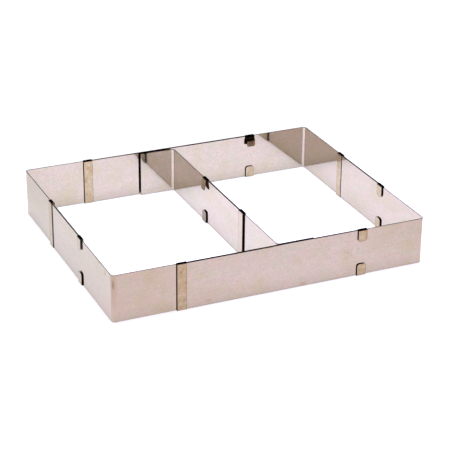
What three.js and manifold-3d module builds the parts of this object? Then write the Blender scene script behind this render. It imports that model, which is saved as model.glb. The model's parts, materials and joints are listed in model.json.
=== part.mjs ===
// A rectangular baking frame that can be set longer or wider, with a divider that slides along it.
// Everything is bright stainless steel strip, standing on edge. Four L-shaped strips make the corners
// and overlap along each wall, an outer leg against an inner one. The divider is two more bent strips
// that overlap in the same way. The end of every leg carries a C-shaped clip, spot-welded to its own
// strip: a band over the full height, folded over both edges into two short tabs that hold the strip
// which slides along it.
// Sizes are in millimetres and angles in degrees. X runs along the long walls, Y along the short walls
// and Z up. The origin is on the surface that the frame stands on, under the middle of the frame.

import * as THREE from 'three';
import { mergeVertices } from 'three/addons/utils/BufferGeometryUtils.js';
import Module from 'manifold-3d';

// The frame as it is set, measured over the faces of its outer legs
const frame_length = 338;
const frame_width = 274.5;

// The corner strips
const wall_height = 50;
const sheet_thickness = 0.8;
const bend_radius = 3; // on the inside of each bend
const long_leg = 271;
const short_leg = 188;
const slide_gap = 0.3; // between two strips that slide

// The divider
const divider_place = 172.6; // from the left wall's outer face to the middle of the divider
const front_divider_leg = 181;
const back_divider_leg = 188.3;
const flange_length = 40.2;
const front_flange_splay = 0;
const back_flange_splay = 0.6; // this flange has sprung open a little
const tab_clearance = 0.15; // between the front flange and the tabs that pass behind it
const back_flange_gap = 2.6; // from the back wall, because the divider is pulled out less than the frame

// The clips
const clip_thickness = 0.4;
const clip_width = 10;
const clip_fold_radius = 0.15; // on the inside of each fold
const tab_length = 12.5; // from the edge of the strip that the tab holds
const tab_corner = 3;
const tight_play = 0.25; // between a tab and the strip that it holds, where the tab is pressed close
const loose_play = 0.9; // where it has been worked loose
const edge_gap = 0.1; // between a fold and the edges that it wraps
const weld_gap = 0.05; // between a clip's band and the strip that it is welded to

// One upper tab has been bent away from the strip, more above its knee than below it
const bent_tab_lean = 22;
const bent_tab_tip_lean = 6;
const bent_tab_knee = 6.5; // from the fold
const flared_tab_lean = 8; // the divider's upper tabs have opened a little

// How finely the curves are divided
const bend_steps = 10;
const fold_steps = 4;
const corner_steps = 6;
const cut_overrun = 2;

// Worked out from the sizes above
const step_in = sheet_thickness + slide_gap; // an inner leg's outer face, inside the outer leg's
const wall_depth = step_in + sheet_thickness;
const strip_rise = clip_thickness + edge_gap; // the clips' lower folds lift the strips by this much
const half_height = wall_height / 2;

const wasm = await Module();
wasm.setup();

const wall_steel = new THREE.MeshStandardMaterial({ color: 0xd3c8c2, roughness: 0.2, metalness: 1 });
const divider_steel = new THREE.MeshStandardMaterial({ color: 0xcdc3bd, roughness: 0.2, metalness: 1 });
const clip_steel = new THREE.MeshStandardMaterial({ color: 0xc2ad96, roughness: 0.3, metalness: 1 });

// The outline of a strip bent in its own plane. Its middle line turns at each inner point, in an arc
// with the given radius on the inside.
function bent_outline(points, thickness, inside_radius, steps) {
  const half = thickness / 2;
  const left = [];
  const right = [];
  const square_to = (way) => new THREE.Vector2(-way.y, way.x);
  const add_pair = (middle, normal) => {
    left.push(middle.clone().addScaledVector(normal, half));
    right.push(middle.clone().addScaledVector(normal, -half));
  };
  const last = points.length - 1;
  add_pair(points[0], square_to(points[1].clone().sub(points[0]).normalize()));
  for (let i = 1; i < last; i += 1) {
    const way_in = points[i].clone().sub(points[i - 1]).normalize();
    const way_out = points[i + 1].clone().sub(points[i]).normalize();
    const turn = Math.atan2(way_in.cross(way_out), way_in.dot(way_out));
    const side = Math.sign(turn);
    const radius = inside_radius + half;
    const hub = points[i].clone();
    hub.addScaledVector(way_in, -radius * Math.tan(Math.abs(turn) / 2));
    hub.addScaledVector(square_to(way_in), radius * side);
    for (let k = 0; k <= steps; k += 1) {
      const normal = square_to(way_in).rotateAround(new THREE.Vector2(), (turn * k) / steps);
      add_pair(hub.clone().addScaledVector(normal, -radius * side), normal);
    }
  }
  add_pair(points[last], square_to(points[last].clone().sub(points[last - 1]).normalize()));
  return new THREE.Shape(left.concat(right.reverse()));
}

function extruded(shape, depth) {
  return new THREE.ExtrudeGeometry(shape, { depth, steps: 1, bevelEnabled: false });
}

function to_solid(geometry) {
  const plain = geometry.clone();
  plain.deleteAttribute('normal');
  plain.deleteAttribute('uv');
  const merged = mergeVertices(plain);
  return new wasm.Manifold(new wasm.Mesh({
    numProp: 3,
    vertProperties: Float32Array.from(merged.attributes.position.array),
    triVerts: Uint32Array.from(merged.index.array),
  }));
}

function to_geometry(solid) {
  const mesh = solid.getMesh();
  const geometry = new THREE.BufferGeometry();
  geometry.setAttribute('position', new THREE.BufferAttribute(Float32Array.from(mesh.vertProperties), 3));
  geometry.setIndex(new THREE.BufferAttribute(Uint32Array.from(mesh.triVerts), 1));
  const faceted = geometry.toNonIndexed();
  faceted.computeVertexNormals();
  return faceted;
}

function add_mesh(group, name, geometry, material) {
  const mesh = new THREE.Mesh(geometry, material);
  mesh.name = name;
  group.add(mesh);
  return mesh;
}

// A clip, with X along its strip from the middle of its width, Y from the welded face of its own strip
// towards the strip that it holds, and Z up from the middle of the wall's height. Its tabs have the given
// play, and the upper one leans away from the strip, by one angle above its knee and another below it.
function clip_geometry(play, upper) {
  const half_clip = clip_thickness / 2;
  const band_y = -weld_gap - half_clip;
  const tab_y = wall_depth + play + half_clip;
  const fold_z = half_height + edge_gap + half_clip;
  const reach = fold_z - half_height + tab_length;
  const hanging = (from, length, lean) => new THREE.Vector2(
    from.x + length * Math.sin(THREE.MathUtils.degToRad(lean)),
    from.y - length * Math.cos(THREE.MathUtils.degToRad(lean)),
  );
  const root = new THREE.Vector2(tab_y, fold_z);
  const knee = hanging(root, bent_tab_knee, upper.lean);
  const tip = hanging(knee, reach - bent_tab_knee, upper.tip_lean);
  const section = bent_outline([
    tip,
    ...(upper.lean === upper.tip_lean ? [] : [knee]),
    root,
    new THREE.Vector2(band_y, fold_z),
    new THREE.Vector2(band_y, -fold_z),
    new THREE.Vector2(tab_y, -fold_z),
    new THREE.Vector2(tab_y, reach - fold_z),
  ], clip_thickness, clip_fold_radius, fold_steps);
  const folded = extruded(section, clip_width);
  folded.translate(0, 0, -clip_width / 2);
  folded.applyMatrix4(new THREE.Matrix4().makeBasis(
    new THREE.Vector3(0, 1, 0),
    new THREE.Vector3(0, 0, 1),
    new THREE.Vector3(1, 0, 0),
  ));

  // The window between the tabs, which rounds their free corners
  const edge = clip_width / 2;
  const side = edge + cut_overrun;
  const tip_z = half_height - tab_length;
  const window = new THREE.Shape();
  window.moveTo(-side, -tip_z - tab_corner);
  window.lineTo(-edge, -tip_z - tab_corner);
  window.absarc(-edge + tab_corner, -tip_z - tab_corner, tab_corner, Math.PI, Math.PI / 2, true);
  window.absarc(edge - tab_corner, -tip_z - tab_corner, tab_corner, Math.PI / 2, 0, true);
  window.lineTo(side, -tip_z - tab_corner);
  window.lineTo(side, tip_z + tab_corner);
  window.lineTo(edge, tip_z + tab_corner);
  window.absarc(edge - tab_corner, tip_z + tab_corner, tab_corner, 0, -Math.PI / 2, true);
  window.absarc(-edge + tab_corner, tip_z + tab_corner, tab_corner, -Math.PI / 2, -Math.PI, true);
  window.lineTo(-side, tip_z + tab_corner);
  const far_y = tip.x + clip_thickness + cut_overrun;
  const cutter = new THREE.ExtrudeGeometry(window, {
    depth: far_y - wall_depth,
    steps: 1,
    bevelEnabled: false,
    curveSegments: corner_steps,
  });
  cutter.applyMatrix4(new THREE.Matrix4().makeBasis(
    new THREE.Vector3(1, 0, 0),
    new THREE.Vector3(0, 0, 1),
    new THREE.Vector3(0, -1, 0),
  ));
  cutter.translate(0, far_y, 0);
  return to_geometry(to_solid(folded).subtract(to_solid(cutter)));
}

// Sets a clip at the place where the welded face of its strip's end is, facing the strip it holds.
function add_clip(group, name, x, y, towards, play, upper) {
  const clip = add_mesh(group, name, clip_geometry(play, upper), clip_steel);
  clip.position.set(x, y, half_height);
  clip.rotation.z = Math.atan2(towards.y, towards.x) - Math.PI / 2;
}

const frame = new THREE.Group();
const straight = { lean: 0, tip_lean: 0 };
const bent = { lean: bent_tab_lean, tip_lean: bent_tab_tip_lean };
const flared = { lean: flared_tab_lean, tip_lean: flared_tab_lean };

// The four corners. Going round the frame, each leg lies outside the leg that comes the other way on
// one wall and inside it on the next, so that every corner has one leg of each kind.
const corners = [
  { name: 'front_left', x_way: 1, y_way: 1, long_inside: true, play: loose_play, upper: straight },
  { name: 'front_right', x_way: -1, y_way: 1, long_inside: false, play: tight_play, upper: straight },
  { name: 'back_right', x_way: -1, y_way: -1, long_inside: true, play: loose_play, upper: straight },
  { name: 'back_left', x_way: 1, y_way: -1, long_inside: false, play: loose_play, upper: bent },
];

for (const { name, x_way, y_way, long_inside, play, upper } of corners) {
  const corner = new THREE.Group();
  corner.position.set(
    -x_way * (frame_length / 2 - (long_inside ? 0 : step_in)),
    -y_way * (frame_width / 2 - (long_inside ? step_in : 0)),
    strip_rise,
  );
  const middle = sheet_thickness / 2;
  const outline = bent_outline([
    new THREE.Vector2(x_way * long_leg, y_way * middle),
    new THREE.Vector2(x_way * middle, y_way * middle),
    new THREE.Vector2(x_way * middle, y_way * short_leg),
  ], sheet_thickness, bend_radius, bend_steps);
  add_mesh(corner, `${name}_strip`, extruded(outline, wall_height), wall_steel);
  add_clip(
    corner,
    `${name}_long_clip`,
    x_way * (long_leg - clip_width / 2),
    long_inside ? y_way * sheet_thickness : 0,
    new THREE.Vector2(0, long_inside ? -y_way : y_way),
    play,
    upper,
  );
  add_clip(
    corner,
    `${name}_short_clip`,
    long_inside ? 0 : x_way * sheet_thickness,
    y_way * (short_leg - clip_width / 2),
    new THREE.Vector2(long_inside ? x_way : -x_way, 0),
    loose_play,
    straight,
  );
  frame.add(corner);
}

// The divider's two halves are bent alike, one turned half round and with a longer leg. In a half's own
// axes its flange runs along +X, with the back of its free end at Y zero, and its leg along +Y beside the
// middle plane.
const divider = new THREE.Group();
divider.position.set(divider_place - frame_length / 2, 0, strip_rise);
const halves = [
  {
    name: 'front',
    turn: 0,
    leg: front_divider_leg,
    gap: tight_play + clip_thickness + tab_clearance,
    splay: front_flange_splay,
  },
  { name: 'back', turn: Math.PI, leg: back_divider_leg, gap: back_flange_gap, splay: back_flange_splay },
];

for (const { name, turn, leg, gap, splay } of halves) {
  const half = new THREE.Group();
  const wall_face = frame_width / 2 - wall_depth;
  half.position.y = (turn === 0 ? -1 : 1) * (wall_face - gap);
  half.rotation.z = turn;
  const middle = sheet_thickness / 2;
  const angle = THREE.MathUtils.degToRad(splay);
  const run = flange_length - middle;
  const leg_x = slide_gap / 2 + middle;
  const bend_y = run * Math.sin(angle) + middle * Math.cos(angle);
  const tip_y = bend_y - middle + leg;
  const outline = bent_outline([
    new THREE.Vector2(leg_x + run * Math.cos(angle), bend_y - run * Math.sin(angle)),
    new THREE.Vector2(leg_x, bend_y),
    new THREE.Vector2(leg_x, tip_y),
  ], sheet_thickness, bend_radius, bend_steps);
  add_mesh(half, `divider_${name}_strip`, extruded(outline, wall_height), divider_steel);
  add_clip(
    half,
    `divider_${name}_clip`,
    leg_x + middle,
    tip_y - clip_width / 2,
    new THREE.Vector2(-1, 0),
    loose_play,
    flared,
  );
  divider.add(half);
}
frame.add(divider);

export default frame;
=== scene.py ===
# %% [markdown]
# # The finish of an adjustable baking frame
#
# The frame is four L-shaped strips of stainless steel that slide along each other, two divider
# strips, and ten small clips that hold them together. Its shape is already settled in the packed
# model, so this lesson gives it what a shape alone lacks: rounded edges, the skin of rolled and
# handled steel, the tint that welding leaves, and a small studio to see it in.
#
# Everything is in metres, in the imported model's own axes: X along the long walls, Y along the
# short walls, Z up, and the surface that the frame stands on at Z zero. Lengths that are easier to
# think of in millimetres are written so and multiplied by MM.

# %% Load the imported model
import json
import math

import bmesh
import bpy
from mathutils import Matrix, Vector


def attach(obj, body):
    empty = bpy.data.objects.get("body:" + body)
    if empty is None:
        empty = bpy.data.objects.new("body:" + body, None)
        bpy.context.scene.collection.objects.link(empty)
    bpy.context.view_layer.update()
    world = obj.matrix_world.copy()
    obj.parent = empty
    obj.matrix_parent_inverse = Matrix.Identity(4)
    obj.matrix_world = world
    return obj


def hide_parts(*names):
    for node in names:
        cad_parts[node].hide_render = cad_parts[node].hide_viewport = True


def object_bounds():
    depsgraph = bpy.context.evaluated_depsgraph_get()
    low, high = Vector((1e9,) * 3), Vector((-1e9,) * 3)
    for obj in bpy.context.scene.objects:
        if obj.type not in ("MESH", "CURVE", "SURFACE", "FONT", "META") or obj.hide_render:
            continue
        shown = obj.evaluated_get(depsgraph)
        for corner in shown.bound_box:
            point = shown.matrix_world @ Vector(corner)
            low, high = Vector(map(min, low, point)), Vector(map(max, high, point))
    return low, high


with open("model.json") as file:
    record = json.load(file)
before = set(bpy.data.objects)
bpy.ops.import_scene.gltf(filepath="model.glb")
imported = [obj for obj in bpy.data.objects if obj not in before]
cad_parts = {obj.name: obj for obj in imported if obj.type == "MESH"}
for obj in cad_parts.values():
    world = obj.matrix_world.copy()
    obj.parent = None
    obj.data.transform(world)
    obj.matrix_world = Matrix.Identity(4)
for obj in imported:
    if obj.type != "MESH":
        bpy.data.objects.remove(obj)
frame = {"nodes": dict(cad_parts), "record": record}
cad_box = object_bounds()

MM = 0.001
cad_size = (cad_box[1] - cad_box[0]) / MM
print(f"{len(frame['nodes'])} pieces, {cad_size.x:.1f} x {cad_size.y:.1f} x {cad_size.z:.1f} mm")

# %% [markdown]
# ## The camera
#
# The photograph was taken from the left of the front wall, looking down at about 25 degrees, with
# a long lens: the far wall is almost as tall as the near one. A camera could be placed by hand until
# the corners agree. Here it is worked out from the direction and the distance instead, because those
# are the numbers that a photographer would write down, and each can be corrected by itself.

# %% Place the camera
CAMERA_AZIMUTH = math.radians(-24.09)
CAMERA_ELEVATION = math.radians(25.12)
CAMERA_ROLL = math.radians(0.55)
CAMERA_DISTANCE = 1630.3 * MM
CAMERA_TARGET = Vector((-3.65, -28.17, 25.5)) * MM
SENSOR_WIDTH = 36.0  # this and the lens are in mm, as on a real camera
LENS = 125.06


def direction(azimuth, elevation):
    """The unit vector from the object towards the viewer; azimuth 0 is in front of it."""
    level = math.cos(elevation)
    return Vector((math.sin(azimuth) * level, -math.cos(azimuth) * level, math.sin(elevation)))


to_camera = direction(CAMERA_AZIMUTH, CAMERA_ELEVATION)
camera = bpy.data.objects.new("camera", bpy.data.cameras.new("camera"))
bpy.context.scene.collection.objects.link(camera)
camera.location = CAMERA_TARGET + to_camera * CAMERA_DISTANCE
camera.rotation_mode = "QUATERNION"
roll = Matrix.Rotation(CAMERA_ROLL, 4, "Z").to_quaternion()
camera.rotation_quaternion = (-to_camera).to_track_quat("-Z", "Y") @ roll
camera.data.lens = LENS
camera.data.sensor_width = SENSOR_WIDTH
bpy.context.scene.camera = camera
print("camera at", [round(value, 3) for value in camera.location])

# %% [markdown]
# ## Colours and nodes
#
# Colours are written as the hex values that a paint program shows, because those can be compared
# with a photograph. Shaders work with linear light, so one function turns them. Materials are trees
# of nodes, and one small function adds a node, sets what is named and links what is given, which
# keeps each tree short enough to read from top to bottom.

# %% Helpers for colours and nodes
# A Mix node has sockets for several kinds of value, so each socket is told by its place.
MIX_FACTOR = 0
NUMBER_A, NUMBER_B = 2, 3
COLOUR_A, COLOUR_B, COLOUR_RESULT = 6, 7, 2


def srgb(text):
    """A hex colour such as cdc2ba as linear red, green, blue and alpha, by the sRGB curve."""
    parts = [int(text[i:i + 2], 16) / 255 for i in (0, 2, 4)]
    linear = [p / 12.92 if p <= 0.04045 else ((p + 0.055) / 1.055) ** 2.4 for p in parts]
    return (*linear, 1.0)


def add_node(tree, kind, settings=None, links=None, stops=None):
    """Adds a shader node.

    Settings are its properties or the values of its sockets, links gives a socket the output that
    feeds it, and stops gives a colour ramp its places and hex colours.
    """
    node = tree.nodes.new("ShaderNode" + kind)
    for name, value in (settings or {}).items():
        if isinstance(name, str) and hasattr(node, name):
            setattr(node, name, value)
        else:
            node.inputs[name].default_value = value
    for name, socket in (links or {}).items():
        tree.links.new(socket, node.inputs[name])
    if stops:
        ramp = node.color_ramp
        ramp.elements.remove(ramp.elements[1])
        ramp.elements[0].position, ramp.elements[0].color = stops[0][0], srgb(stops[0][1])
        for place, shade in stops[1:]:
            ramp.elements.new(place).color = srgb(shade)
    return node


def new_material(name):
    """An empty material and its tree."""
    material = bpy.data.materials.new(name)
    material.use_nodes = True
    material.node_tree.nodes.clear()
    return material, material.node_tree


print("srgb('808080') is", round(srgb("808080")[0], 3))

# %% [markdown]
# ## The white floor
#
# Bright steel has hardly any colour of its own: it shows what is round it. The photograph has a
# white table that every wall mirrors, so the floor here is white and very wide: a small one would
# show its edge in the walls.
#
# It stands for matt white paper, which scatters light evenly and shows the eye nothing but white.
# Part of that white is the backdrop's own, for a picture, a mirror or a lens that looks at it, and
# the lamps give the rest. A floor lit by lamps alone would get a shadow that is far too dark.

# %% The floor
FLOOR_HALF = 15.0
FLOOR_WHITE = "f9f9f9"
FLOOR_GLOW = 0.65  # how much of the white is the backdrop's own

floor_mesh = bpy.data.meshes.new("floor")
floor_bm = bmesh.new()
bmesh.ops.create_grid(floor_bm, x_segments=1, y_segments=1, size=FLOOR_HALF)
floor_bm.to_mesh(floor_mesh)
floor_bm.free()
floor = bpy.data.objects.new("floor", floor_mesh)
bpy.context.scene.collection.objects.link(floor)

paper, tree = new_material("white_paper")
light_path = add_node(tree, "LightPath")
seen = add_node(tree, "Math", {"operation": "MAXIMUM"}, {
    0: light_path.outputs["Is Camera Ray"], 1: light_path.outputs["Is Glossy Ray"]})
seen = add_node(tree, "Math", {"operation": "MAXIMUM"}, {
    0: seen.outputs[0], 1: light_path.outputs["Is Transmission Ray"]})
share = add_node(tree, "Math", {"operation": "MULTIPLY", 1: FLOOR_GLOW}, {0: seen.outputs[0]})
lit = add_node(tree, "BsdfDiffuse", {"Color": srgb(FLOOR_WHITE)})
glow = add_node(tree, "Emission", {"Strength": 1.0})
mixed = add_node(tree, "MixShader", links={
    "Fac": share.outputs[0], 1: lit.outputs[0], 2: glow.outputs[0]})
add_node(tree, "OutputMaterial", links={"Surface": mixed.outputs[0]})
floor.data.materials.append(paper)
print("floor", 2 * FLOOR_HALF, "m across")

# %% [markdown]
# ## The dark room
#
# The rims of the walls face upwards, so they mirror the room above the table. A world of one even
# grey would make them pale. A white band up to 8 degrees above the horizon, a dark room over it and
# a slightly lighter ceiling give the black rims of the photograph.

# %% The world
HORIZON_TOP, HORIZON_END = math.radians(8), math.radians(10)  # white fades to dark between these
ROOM_DARK = 0.02
CEILING_START, CEILING_END = math.radians(50), math.radians(75)
CEILING = 0.06

world = bpy.data.worlds.new("studio")
world.use_nodes = True
bpy.context.scene.world = world
tree = world.node_tree
tree.nodes.clear()
way = add_node(tree, "TexCoord")
height = add_node(tree, "SeparateXYZ", links={0: way.outputs["Generated"]})
low = add_node(tree, "MapRange", {
    "From Min": math.sin(HORIZON_TOP), "From Max": math.sin(HORIZON_END),
    "To Min": 1.0, "To Max": ROOM_DARK}, {"Value": height.outputs["Z"]})
high = add_node(tree, "MapRange", {
    "From Min": math.sin(CEILING_START), "From Max": math.sin(CEILING_END),
    "To Max": CEILING - ROOM_DARK}, {"Value": height.outputs["Z"]})
total = add_node(tree, "Math", {"operation": "ADD"}, {0: low.outputs[0], 1: high.outputs[0]})
sky = add_node(tree, "Background", links={"Strength": total.outputs[0]})
add_node(tree, "OutputWorld", links={"Surface": sky.outputs[0]})
print("white up to", round(math.degrees(HORIZON_TOP)), "degrees above the horizon")

# %% [markdown]
# ## The lamps
#
# One large soft lamp straight above lights the whole table. It is kept out of the metal's mirror
# image, as a photographer does by placing it where no edge can catch it. Its light is slightly blue
# and the steel slightly yellow. Once mirrored the two nearly cancel, but light that is mirrored
# twice, in the dark triangles of the corners, comes out brown, as it does in the photograph.
#
# The photograph's table is brighter than white, so it shows as plain white all over, and only the
# steel, which mirrors about half of the light, tells how bright each part of it is: brighter inside
# the frame, and warmer in front. The steel could be painted lighter where it looks lighter, but it
# would be wrong from every other side. Four lamps with a narrow spread do it as the real light does:
# each makes a pool of light on the floor, and the walls beside the pool mirror it. The pools are
# tinted, which shows in the walls far more than on the floor, because that is brighter than white.

# %% The lamps
OVERHEAD_STRENGTH = 4.534
OVERHEAD_COLOUR = (0.925, 0.901, 1.0)
OVERHEAD_ANGLE = math.radians(60)
POOL_HEIGHT = 600 * MM
POOL_SPREAD = math.radians(14)
POOLS = {  # ends along X and along Y in mm, colour, power in watts
    "inner_pool": ((-140, 240), (-100, 150), (0.628, 0.645, 1.0), 0.74),
    "left_pool": ((-280, -130), (-120, 140), (0.698, 0.687, 1.0), 0.0805),
    "front_warm_pool": ((-220, 260), (-330, -100), (1.0, 0.457, 0.887), 0.185),
    "front_cool_pool": ((-60, 160), (-250, -140), (0.416, 0.545, 1.0), 0.0676),
}


def add_lamp(name, kind, colour, energy):
    """A lamp that lights the floor and is kept out of the metal's mirror image."""
    lamp = bpy.data.objects.new(name, bpy.data.lights.new(name, kind))
    lamp.data.color = colour
    lamp.data.energy = energy
    lamp.visible_glossy = False
    bpy.context.scene.collection.objects.link(lamp)
    return lamp


overhead = add_lamp("overhead", "SUN", OVERHEAD_COLOUR, OVERHEAD_STRENGTH)
overhead.data.angle = OVERHEAD_ANGLE
for name, (x_ends, y_ends, colour, power) in POOLS.items():
    pool = add_lamp(name, "AREA", colour, power)
    pool.data.shape = "RECTANGLE"
    pool.data.size = (x_ends[1] - x_ends[0]) * MM
    pool.data.size_y = (y_ends[1] - y_ends[0]) * MM
    pool.data.spread = POOL_SPREAD
    pool.location = (sum(x_ends) / 2 * MM, sum(y_ends) / 2 * MM, POOL_HEIGHT)

bpy.context.scene.view_settings.view_transform = "Standard"
print("one overhead lamp and", len(POOLS), "pools of light")

# %% [markdown]
# ## Sheet steel with real edges
#
# The imported pieces have the right shape, but their edges are perfectly sharp and their bends are
# small flat steps. A mirror shows both at once. Each piece could be bent again from its profile, but
# that would only repeat the imported shape. So each one is copied, its loose triangles are joined
# back into faces, and two modifiers finish the copy: a bevel for the slightly rounded edge that
# cutting leaves, and weighted normals, which let the bends shade smoothly and the flats stay flat.
#
# A sheet has two sides that mirror and a narrow cut edge all round that doesn't. The two are told
# apart by walking over the faces: a walk that never crosses a sharp edge stays on one side of the
# sheet, so the two largest areas are the sides and all the rest is cut edge. The rounding goes with
# the cut edge and takes its black, which is partly painted shade.
#
# Round a clip's outer side, an inset gives a thin border its own faces, which take the cut edges'
# black as painted shade for the gap where the clip stands off the wall. The inner side of a clip is
# the smaller of its two sides, so it can have a dark finish of its own, which is painted shade.

# %% Finish a copy of each piece
WELD = 0.001 * MM  # corners closer than this become one
FLAT = math.radians(0.5)  # triangles that turn less than this become one face
SHARP = math.radians(50)  # an edge that turns more than this ends a side of the sheet
EDGE_ROUND = 0.32 * MM  # more than real sheet has, because a thinner dark line fades in the picture
CLIP_EDGE_ROUND = 0.12 * MM
CLIP_SHADE_BORDER = 0.27 * MM
ROUND_STEPS = 2  # faces across each rounding
SIDE_SLOT, CUT_AND_SHADE_SLOT, INNER_SHADE_SLOT = 0, 1, 2

bodies = frame["record"]["behaviour"]["bodies"]
slots = {part["node"]: part["material_slot"] for part in frame["record"]["subparts"]}
clips = {node_name for node_name, slot in slots.items() if slot == "clip_steel"}


def areas_between_sharp_edges(bm):
    """The mesh's faces in groups, each of which can be walked without crossing a sharp edge."""
    waiting = {face.index for face in bm.faces}
    groups = []
    for start in bm.faces:
        if start.index not in waiting:
            continue
        waiting.remove(start.index)
        group = [start]
        for face in group:
            for edge in face.edges:
                if edge.calc_face_angle(math.pi) > SHARP:
                    continue
                for other in edge.link_faces:
                    if other.index in waiting:
                        waiting.remove(other.index)
                        group.append(other)
        groups.append(group)
    return groups


def formed(node_name):
    """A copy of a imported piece, joined, with its cut edges in a material slot of their own."""
    is_clip = node_name in clips
    mesh = frame["nodes"][node_name].data.copy()
    mesh.materials.clear()
    bm = bmesh.new()
    bm.from_mesh(mesh)
    bmesh.ops.remove_doubles(bm, verts=bm.verts, dist=WELD)
    bmesh.ops.dissolve_limit(bm, angle_limit=FLAT, verts=bm.verts, edges=bm.edges)
    bm.faces.index_update()
    groups = areas_between_sharp_edges(bm)
    groups.sort(key=lambda group: sum(face.calc_area() for face in group), reverse=True)
    side_slots = (SIDE_SLOT, INNER_SHADE_SLOT if is_clip else SIDE_SLOT)
    for rank, group in enumerate(groups):
        for face in group:
            face.material_index = side_slots[rank] if rank < len(side_slots) else CUT_AND_SHADE_SLOT
            face.smooth = True
    if is_clip:
        # a thin border of painted shade round the clip's outer side
        shade_border = bmesh.ops.inset_region(
            bm, faces=groups[0], thickness=CLIP_SHADE_BORDER, use_boundary=True, use_even_offset=True)
        for face in shade_border["faces"]:
            face.material_index = CUT_AND_SHADE_SLOT
            face.smooth = True
    bm.to_mesh(mesh)
    bm.free()
    piece = bpy.data.objects.new(f"{node_name}_formed", mesh)
    bpy.context.scene.collection.objects.link(piece)
    rounded = piece.modifiers.new("rounded_edges", "BEVEL")
    rounded.width = CLIP_EDGE_ROUND if is_clip else EDGE_ROUND
    rounded.material = CUT_AND_SHADE_SLOT
    rounded.segments = ROUND_STEPS
    rounded.limit_method = "ANGLE"
    rounded.angle_limit = SHARP
    level = piece.modifiers.new("flat_sides", "WEIGHTED_NORMAL")
    level.keep_sharp = True
    return piece


pieces = {}
for body, members in bodies.items():
    for node_name in members:
        piece = formed(node_name)
        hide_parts(node_name)
        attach(piece, body)
        pieces[node_name] = piece
        print(f"{piece.name}: {len(piece.data.polygons)} faces, rides on {body}")

# %% [markdown]
# ## Marks of use
#
# Heat from the welds and the oven has left brown and straw-coloured spots on this frame, and there
# are two dark specks on the front wall. A black mark beside the left wall's band is painted shade, for
# the gap where the band stands off the wall. The marks could be scattered at random, but the photograph
# shows where they are. So each is written as the middle of an ellipsoid, its reach along the three
# axes and its strength, and marks of one colour are laid on together.

# %% How marks are laid on steel
MARK_CORE = 0.3  # the share of a mark's reach that has its full strength
# black for painted shade: the gaps beside the bands, the overlapped rims and the clips' folds
PAINTED_SHADE = "20170f"
HEAT_BROWN = "694a32"
STRAW = "a87442"


def marked(tree, spot, clean, shade, marks):
    """The clean colour with marks of a shade on it: each has its middle, its reach and its strength."""
    strongest = None
    for middle, reach, strength in marks:
        size = [value * MM for value in reach]
        shift = [-value * MM / side for value, side in zip(middle, size)]
        nearby = add_node(tree, "Mapping", {
            "Location": shift, "Scale": [1 / side for side in size]}, {"Vector": spot})
        apart = add_node(tree, "VectorMath", {"operation": "LENGTH"}, {0: nearby.outputs[0]})
        mark = add_node(tree, "MapRange", {
            "From Min": 1.0, "From Max": MARK_CORE, "To Max": strength}, {
            "Value": apart.outputs["Value"]})
        if strongest is None:
            strongest = mark
        else:
            strongest = add_node(tree, "Math", {"operation": "MAXIMUM"}, {
                0: strongest.outputs[0], 1: mark.outputs[0]})
    tinted = add_node(tree, "Mix", {"data_type": "RGBA", COLOUR_B: srgb(shade)}, {
        MIX_FACTOR: strongest.outputs[0], COLOUR_A: clean})
    return tinted.outputs[COLOUR_RESULT]


print("a mark is full up to", MARK_CORE, "of its reach")

# %% [markdown]
# ## The shaded rims
#
# Where two strips slide along each other, their top rims stack into a double edge with a thin gap,
# which shows as a dark line. That line is painted shade along the top rims. It could be the same all
# along, but on the front wall of the photograph it stops near the divider and comes back, weaker,
# past the end of the divider's flange, and on the back wall it grows towards the right. A noise
# makes it patchy.

# %% Where the rims get painted shade
RIM_START, RIM_FULL = 49.4 * MM, 50.0 * MM  # from none to full painted shade, just under the top edge
OVERLAP_END = 104 * MM  # the strips overlap this far to each side of the middle
LONG_WALL = 130 * MM  # what is further from the middle, along Y, belongs to a long wall
FRONT_SHADED, FRONT_UNSHADED = -5 * MM, 15 * MM
FLANGE_END, TAIL_END = 44 * MM, 100 * MM
TAIL_SHADE = 0.5
BACK_UNSHADED, BACK_SHADED = -50 * MM, 20 * MM
BACK_LEAST = 0.3
PATCH_WIDTH = 6 * MM
PATCH_START, PATCH_FULL = 0.3, 0.55
PATCH_LEAST = 0.55


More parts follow.
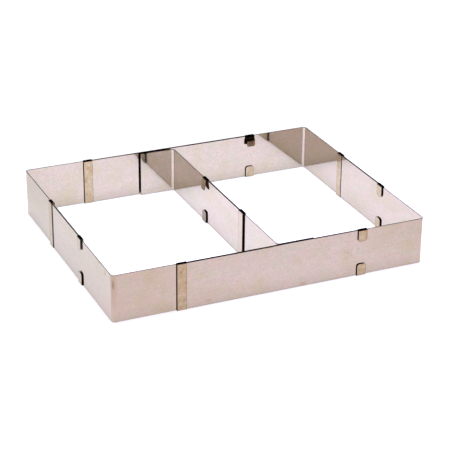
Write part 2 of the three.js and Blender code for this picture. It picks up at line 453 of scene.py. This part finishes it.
def rim_gap_shade(tree, spot):
    """How much painted shade the top rim of a long wall gets, from 0 to 1."""
    parts = add_node(tree, "SeparateXYZ", links={0: spot})
    along = parts.outputs["X"]
    band = add_node(tree, "MapRange", {"From Min": RIM_START, "From Max": RIM_FULL}, {
        "Value": parts.outputs["Z"]})
    across = add_node(tree, "Math", {"operation": "ABSOLUTE"}, {0: along})
    overlap = add_node(tree, "Math", {"operation": "LESS_THAN", 1: OVERLAP_END}, {
        0: across.outputs[0]})
    depth = add_node(tree, "Math", {"operation": "ABSOLUTE"}, {0: parts.outputs["Y"]})
    long_wall = add_node(tree, "Math", {"operation": "GREATER_THAN", 1: LONG_WALL}, {
        0: depth.outputs[0]})
    front = add_node(tree, "MapRange", {
        "From Min": FRONT_SHADED, "From Max": FRONT_UNSHADED, "To Min": 1.0, "To Max": 0.0}, {
        "Value": along})
    tail = add_node(tree, "MapRange", {
        "From Min": FLANGE_END, "From Max": TAIL_END, "To Min": TAIL_SHADE, "To Max": 0.0}, {
        "Value": along})
    past = add_node(tree, "Math", {"operation": "GREATER_THAN", 1: FLANGE_END}, {0: along})
    tail = add_node(tree, "Math", {"operation": "MULTIPLY"}, {0: tail.outputs[0], 1: past.outputs[0]})
    front = add_node(tree, "Math", {"operation": "MAXIMUM"}, {0: front.outputs[0], 1: tail.outputs[0]})
    back = add_node(tree, "MapRange", {
        "From Min": BACK_UNSHADED, "From Max": BACK_SHADED, "To Min": BACK_LEAST, "To Max": 1.0}, {
        "Value": along})
    behind = add_node(tree, "Math", {"operation": "GREATER_THAN", 1: 0.0}, {0: parts.outputs["Y"]})
    rim_amount = add_node(tree, "Mix", {"data_type": "FLOAT"}, {
        MIX_FACTOR: behind.outputs[0], NUMBER_A: front.outputs[0], NUMBER_B: back.outputs[0]})
    patches = add_node(tree, "TexNoise", {"Scale": 1 / PATCH_WIDTH, "Detail": 2.0}, {"Vector": spot})
    patchy = add_node(tree, "MapRange", {
        "From Min": PATCH_START, "From Max": PATCH_FULL, "To Min": PATCH_LEAST, "To Max": 1.0}, {
        "Value": patches.outputs["Fac"]})
    amount = band.outputs[0]
    for part in (overlap, long_wall, rim_amount, patchy):
        narrowed = add_node(tree, "Math", {"operation": "MULTIPLY"}, {0: amount, 1: part.outputs[0]})
        amount = narrowed.outputs[0]
    return amount


# the rims' dark line is painted shade for the gap between stacked strips
print("the rubbed rim starts", round(RIM_START / MM, 1), "mm above the floor")

# %% [markdown]
# ## How the back wall leans
#
# The back wall of the photograph is slightly bowed, as thin sheet is when it is pushed. Bent solids
# couldn't slide along each other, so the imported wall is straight, and its outline is right to within
# two millimetres. Only the mirror images in it would be out of place. A bump whose height grows
# along the wall turns every mirror image by a small angle, and leaves the outline alone.

# %% How the back pieces lean
BACK_LEAN = 0.015  # how far the wall stands back, for each metre along it
BOW_BEND = 0.12  # how much that grows, for each metre past the start of the bow
TOP_TILT = 0.006  # how far the wall's top leans in, for each metre of height
BOW_START = 20 * MM
TILT_START, TILT_FULL = 40 * MM, 100 * MM  # the top's lean grows between these


def bow(tree, spot):
    """How far the back wall stands back at a spot: a steady lean that grows towards the right."""
    parts = add_node(tree, "SeparateXYZ", links={0: spot})
    lean = add_node(tree, "Math", {"operation": "MULTIPLY", 1: BACK_LEAN}, {0: parts.outputs["X"]})
    past = add_node(tree, "Math", {"operation": "SUBTRACT", 1: BOW_START}, {0: parts.outputs["X"]})
    past = add_node(tree, "Math", {"operation": "MAXIMUM", 1: 0.0}, {0: past.outputs[0]})
    curve = add_node(tree, "Math", {"operation": "POWER", 1: 2.0}, {0: past.outputs[0]})
    curve = add_node(tree, "Math", {"operation": "MULTIPLY", 1: BOW_BEND / 2}, {0: curve.outputs[0]})
    outward = add_node(tree, "Math", {"operation": "ADD"}, {0: lean.outputs[0], 1: curve.outputs[0]})
    tilt = add_node(tree, "MapRange", {
        "From Min": TILT_START, "From Max": TILT_FULL, "To Max": TOP_TILT}, {
        "Value": parts.outputs["X"]})
    inward = add_node(tree, "Math", {"operation": "MULTIPLY"}, {
        0: tilt.outputs[0], 1: parts.outputs["Z"]})
    total = add_node(tree, "Math", {"operation": "SUBTRACT"}, {
        0: outward.outputs[0], 1: inward.outputs[0]})
    return total.outputs[0]


print("the back wall leans", BACK_LEAN, "and its top", TOP_TILT)

# %% [markdown]
# ## Rolled stainless steel
#
# The strips are 18/8 stainless steel, cold-rolled to a bright skin and then used in an oven. That
# gives the eye a clear mirror with faint lines along the strip and a fine grain. Handling and heat
# leave clouds that turn slightly tan, pink or greenish, and fingers leave smudges. The metal's own
# colour carries the clouds, the lines and the grain, and its roughness carries the smudges, because
# a smudge dulls a mirror more than it colours it. One even grey would be simpler, but a bright wall
# without clouds looks like plastic film. No thin sheet is perfectly flat either, so a bump only a
# few hundredths of a millimetre high makes the mirror images waver.

# %% The strips' steel
WALL_CLOUDS = [
    (0.30, "b6a993"), (0.42, "b7ab99"), (0.52, "bbac9f"), (0.62, "b6ad9c"), (0.72, "b6ab94")]
CLOUD_WIDTH = 24 * MM
CLOUD_LENGTH = 60 * MM  # along the short walls, which the camera sees end on
LINE_WIDTH = 1.6 * MM  # real rolling lines are finer, drawn as coarse as the picture can show
LINE_LENGTH = 60 * MM
LINE_CHANGE = 0.04  # how much lighter or darker than the rest a line can be
GRAIN_WIDTH = 1.7 * MM  # the real grain is far finer, drawn as coarse as the picture can show
GRAIN_CHANGE = 0.12
MOTTLE_WIDTH = 5 * MM
MOTTLE = 0.14  # how far the mottling can change each of red, green and blue
SMUDGE_WIDTH = 35 * MM
SMUDGE_START, SMUDGE_FULL = 0.35, 0.7
CLEAN_ROUGHNESS, SMUDGED_ROUGHNESS = 0.025, 0.06
WAVE_WIDTH = 70 * MM
WAVE_HEIGHT = 0.02 * MM
STRIP_MARKS = {  # middle, reach and strength of each, in mm
    STRAW: [
        ((-167, -136, 34), (4.5, 4, 28), 0.2),
        ((-169, -118, 45), (2, 3.5, 4), 0.5),
        ((-169, -99, 51), (2, 14, 4), 0.35),
        ((32, -137, 3), (6, 2, 3), 0.3),
        ((-70, -137, 5), (5, 2, 2.5), 0.3)],
    HEAT_BROWN: [
        ((-168, -137, 40), (2.5, 3, 8), 0.7),
        ((81.5, -137.2, 27.5), (0.8, 0.8, 0.8), 0.9),
        ((84.5, -137.2, 24.5), (0.6, 0.8, 0.6), 0.6)],
    # painted shade: a black line for the gap where the left wall's band stands off the wall
    PAINTED_SHADE: [
        ((-169, 40.6, 25), (1.5, 2.8, 70), 1.0)],
}


def strip_steel(name, bowed):
    """Bright rolled steel: a clear mirror with clouds, faint lines, fine grain and smudges."""
    material, tree = new_material(name)
    spot = add_node(tree, "TexCoord").outputs["Object"]
    spread = add_node(tree, "Mapping", {
        "Scale": (1 / CLOUD_WIDTH, 1 / CLOUD_LENGTH, 1 / CLOUD_WIDTH)}, {"Vector": spot})
    clouds = add_node(tree, "TexNoise", {"Scale": 1.0, "Detail": 3.0}, {"Vector": spread.outputs[0]})
    colour = add_node(tree, "ValToRGB", links={"Fac": clouds.outputs["Fac"]}, stops=WALL_CLOUDS)
    stretched = add_node(tree, "Mapping", {
        "Scale": (1 / LINE_LENGTH, 1 / LINE_LENGTH, 1 / LINE_WIDTH)}, {"Vector": spot})
    lines = add_node(tree, "TexNoise", {"Scale": 1.0, "Detail": 2.0}, {
        "Vector": stretched.outputs[0]})
    lined = add_node(tree, "MapRange", {"To Min": 1 - LINE_CHANGE, "To Max": 1 + LINE_CHANGE}, {
        "Value": lines.outputs["Fac"]})
    grain = add_node(tree, "TexNoise", {"Scale": 1 / GRAIN_WIDTH, "Detail": 1.0}, {"Vector": spot})
    grained = add_node(tree, "MapRange", {"To Min": 1 - GRAIN_CHANGE, "To Max": 1 + GRAIN_CHANGE}, {
        "Value": grain.outputs["Fac"]})
    brightness = add_node(tree, "Math", {"operation": "MULTIPLY"}, {
        0: lined.outputs[0], 1: grained.outputs[0]})
    mottle = add_node(tree, "TexNoise", {"Scale": 1 / MOTTLE_WIDTH, "Detail": 2.0}, {"Vector": spot})
    mottled = add_node(tree, "VectorMath", {
        "operation": "MULTIPLY_ADD", 1: (MOTTLE,) * 3, 2: (1 - MOTTLE / 2,) * 3}, {
        0: mottle.outputs["Color"]})
    tinted = add_node(tree, "VectorMath", {"operation": "MULTIPLY"}, {
        0: colour.outputs["Color"], 1: mottled.outputs[0]})
    clean = add_node(tree, "VectorMath", {"operation": "SCALE"}, {
        0: tinted.outputs[0], "Scale": brightness.outputs[0]})
    used = clean.outputs[0]
    for shade, marks in STRIP_MARKS.items():
        used = marked(tree, spot, used, shade, marks)
    # painted shade on the top rims where the strips overlap
    rimmed = add_node(tree, "Mix", {"data_type": "RGBA", COLOUR_B: srgb(PAINTED_SHADE)}, {
        MIX_FACTOR: rim_gap_shade(tree, spot), COLOUR_A: used})
    smudges = add_node(tree, "TexNoise", {"Scale": 1 / SMUDGE_WIDTH, "Detail": 4.0}, {"Vector": spot})
    dull = add_node(tree, "MapRange", {
        "From Min": SMUDGE_START, "From Max": SMUDGE_FULL,
        "To Min": CLEAN_ROUGHNESS, "To Max": SMUDGED_ROUGHNESS}, {"Value": smudges.outputs["Fac"]})
    waves = add_node(tree, "TexNoise", {"Scale": 1 / WAVE_WIDTH, "Detail": 0.0}, {"Vector": spot})
    height = add_node(tree, "Math", {"operation": "MULTIPLY", 1: WAVE_HEIGHT}, {
        0: waves.outputs["Fac"]})
    if bowed:
        height = add_node(tree, "Math", {"operation": "SUBTRACT"}, {
            0: height.outputs[0], 1: bow(tree, spot)})
    waved = add_node(tree, "Bump", {"Strength": 1.0, "Distance": 1.0}, {"Height": height.outputs[0]})
    steel = add_node(tree, "BsdfPrincipled", {"Metallic": 1.0}, {
        "Base Color": rimmed.outputs[COLOUR_RESULT], "Roughness": dull.outputs[0],
        "Normal": waved.outputs[0]})
    add_node(tree, "OutputMaterial", links={"Surface": steel.outputs[0]})
    return material


straight_steel = strip_steel("rolled_stainless", bowed=False)
bowed_steel = strip_steel("rolled_stainless_bowed", bowed=True)
print("clouds", CLOUD_WIDTH / MM, "mm, lines", LINE_WIDTH / MM, "mm")

# %% [markdown]
# ## The clips' steel
#
# The clips are stamped from the same steel and spot-welded on. Welding heats them, which gives the
# eye a duller mirror with a straw-brown tint in small patches of orange, green and pink, and round
# brown spots over the welds. The folds over the rims are painted black, a painted reflection of the
# dark room above. One plain tan would fit from afar, but the photograph shows the patches clearly.

# %% The clips' steel
CLIP_TINTS = [
    (0.32, "a58765"), (0.42, "af9a79"), (0.50, "a79a7b"), (0.58, "b29b83"), (0.68, "b5a68c")]
TINT_WIDTH = 4 * MM
CLIP_ROUGHNESS_LEAST, CLIP_ROUGHNESS_MOST = 0.1, 0.22
FOLD_SHADE_START, FOLD_SHADE_END = 49.5 * MM, 49.9 * MM  # from tinted to painted black, just under the fold
PLAIN_STEEL = "bcaf9d"
CLIP_MARKS = {  # middle, reach and strength of each, in mm
    PLAIN_STEEL: [
        ((-170, -46, 25), (2, 12, 60), 0.55),
        ((2, -51, 25), (3, 12, 60), 0.6)],
    HEAT_BROWN: [
        ((98, 132, 44), (8, 5, 10), 0.75),
        ((0, 41, 5), (6, 16, 20), 0.76),
        ((0, 41, 44), (4, 8, 10), 0.3),
        ((-97, 135, 42), (2, 2, 2.5), 0.35),
        ((-100, 135, 27), (2, 2, 3), 0.3),
        ((-100, 135, 11), (2, 2, 3), 0.3),
        ((-99, -138, 41), (2.5, 2, 3), 0.3),
        ((-96, -138, 11), (2, 2, 3), 0.25)],
    # painted shade: a black line for the gap at the edge of the left wall's band
    PAINTED_SHADE: [
        ((-169.5, 41.8, 25), (1.5, 1, 70), 1.0)],
}


def stamped_steel(name):
    """Heat-tinted steel: a blurred mirror in patches of tan, with a painted dark reflection at the top
    fold.
    """
    material, tree = new_material(name)
    spot = add_node(tree, "TexCoord").outputs["Object"]
    clouds = add_node(tree, "TexNoise", {"Scale": 1 / TINT_WIDTH, "Detail": 3.0}, {"Vector": spot})
    colour = add_node(tree, "ValToRGB", links={"Fac": clouds.outputs["Fac"]}, stops=CLIP_TINTS)
    used = colour.outputs["Color"]
    for shade, marks in CLIP_MARKS.items():
        used = marked(tree, spot, used, shade, marks)
    parts = add_node(tree, "SeparateXYZ", links={0: spot})
    # the fold over the rim is painted black: a painted reflection of the dark room above
    fold = add_node(tree, "MapRange", {"From Min": FOLD_SHADE_START, "From Max": FOLD_SHADE_END}, {
        "Value": parts.outputs["Z"]})
    fold_shaded = add_node(tree, "Mix", {"data_type": "RGBA", COLOUR_B: srgb(PAINTED_SHADE)}, {
        MIX_FACTOR: fold.outputs[0], COLOUR_A: used})
    dull = add_node(tree, "MapRange", {
        "To Min": CLIP_ROUGHNESS_LEAST, "To Max": CLIP_ROUGHNESS_MOST}, {
        "Value": clouds.outputs["Fac"]})
    steel = add_node(tree, "BsdfPrincipled", {"Metallic": 1.0}, {
        "Base Color": fold_shaded.outputs[COLOUR_RESULT], "Roughness": dull.outputs[0]})
    add_node(tree, "OutputMaterial", links={"Surface": steel.outputs[0]})
    return material


clip_steel = stamped_steel("stamped_stainless")
print("tints on the clips are", TINT_WIDTH / MM, "mm wide")

# %% [markdown]
# ## Cut edges and the clips' inner side
#
# The cut edges of every piece are sheared, which tears the steel: they are rough and dark, and catch
# almost no light from the side. They are painted nearly black, darker than torn steel, as painted
# shade for the narrow gaps beside them, and that gives the black lines of the photograph. Only the
# inner strip of the left wall has its rim scuffed pale by the strip that slides over it.
#
# The inner side of a clip is painted dark brown as shade, which gives the eye a dark gap between the
# tabs and the wall, where little light gets in. The clips' outer finish could do for both, but then
# the gaps would shine.

# %% The cut edges and the clips' inner side
# nearly black: torn steel, with painted shade for the gaps beside the edges
CUT_AND_GAP_SHADE_TINTS = [(0.3, "0f0a06"), (0.7, "251b12")]
CUT_GRAIN = 1.2 * MM  # torn grain is finer, drawn as coarse as the picture can show
CUT_ROUGHNESS = 0.45
WORN_RIM, WORN_REACH = -167.5 * MM, 0.6 * MM  # where the scuffed rim is, along X, and its half width
WORN_LENGTH = 102 * MM
SCUFFED = "766f5c"
# painted shade for the gap between a clip's tabs and the wall
INNER_SHADE_TINTS = [(0.35, "1c1713"), (0.65, "362b22")]
INNER_CLOUD = 4 * MM
INNER_ROUGHNESS = 0.5


def sheared_edge_and_gap_shade(name):
    """Torn steel, painted nearly black as shade for the gaps beside it, without a mirror image, but
    scuffed pale on one rim.
    """
    material, tree = new_material(name)
    spot = add_node(tree, "TexCoord").outputs["Object"]
    grain = add_node(tree, "TexNoise", {"Scale": 1 / CUT_GRAIN, "Detail": 2.0}, {"Vector": spot})
    colour = add_node(tree, "ValToRGB", links={"Fac": grain.outputs["Fac"]}, stops=CUT_AND_GAP_SHADE_TINTS)
    steel = add_node(tree, "BsdfPrincipled", {"Metallic": 1.0, "Roughness": CUT_ROUGHNESS}, {
        "Base Color": colour.outputs["Color"]})
    parts = add_node(tree, "SeparateXYZ", links={0: spot})
    across = add_node(tree, "Math", {"operation": "COMPARE", 1: WORN_RIM, 2: WORN_REACH}, {
        0: parts.outputs["X"]})
    along = add_node(tree, "Math", {"operation": "COMPARE", 1: 0.0, 2: WORN_LENGTH / 2}, {
        0: parts.outputs["Y"]})
    rim_amount = add_node(tree, "Math", {"operation": "MULTIPLY"}, {
        0: across.outputs[0], 1: along.outputs[0]})
    scuffed = add_node(tree, "BsdfDiffuse", {"Color": srgb(SCUFFED)})
    mixed = add_node(tree, "MixShader", links={
        "Fac": rim_amount.outputs[0], 1: steel.outputs[0], 2: scuffed.outputs[0]})
    add_node(tree, "OutputMaterial", links={"Surface": mixed.outputs[0]})
    return material


def clip_inner_shade(name):
    """Painted shade for a clip's inner side: dark and dull steel, with soft clouds."""
    material, tree = new_material(name)
    spot = add_node(tree, "TexCoord").outputs["Object"]
    clouds = add_node(tree, "TexNoise", {"Scale": 1 / INNER_CLOUD, "Detail": 3.0}, {"Vector": spot})
    colour = add_node(tree, "ValToRGB", links={"Fac": clouds.outputs["Fac"]}, stops=INNER_SHADE_TINTS)
    steel = add_node(tree, "BsdfPrincipled", {"Metallic": 1.0, "Roughness": INNER_ROUGHNESS}, {
        "Base Color": colour.outputs["Color"]})
    add_node(tree, "OutputMaterial", links={"Surface": steel.outputs[0]})
    return material


cut_and_gap_shade_steel = sheared_edge_and_gap_shade("sheared_edge_and_gap_shade")
inner_shade_steel = clip_inner_shade("clip_inner_painted_shade")
print("cut edges have a grain of", CUT_GRAIN / MM, "mm")

# %% [markdown]
# ## Give each piece its steel
#
# Every piece gets its side's steel, then that of the cut edges, and a clip also that of its inner
# side, in the order of the slots that its faces were sorted into. The two front strips mirror as
# straight sheet does, and the others as the bowed wall does. The divider can be among them: its
# sides face along the wall, so the lean doesn't turn them.

# %% Give each piece its steel
for node_name, piece in pieces.items():
    wall_steel = straight_steel if node_name.startswith("front") else bowed_steel
    piece.data.materials.append(clip_steel if node_name in clips else wall_steel)
    piece.data.materials.append(cut_and_gap_shade_steel)
    if node_name in clips:
        piece.data.materials.append(inner_shade_steel)
print("materials on", len(pieces), "pieces")
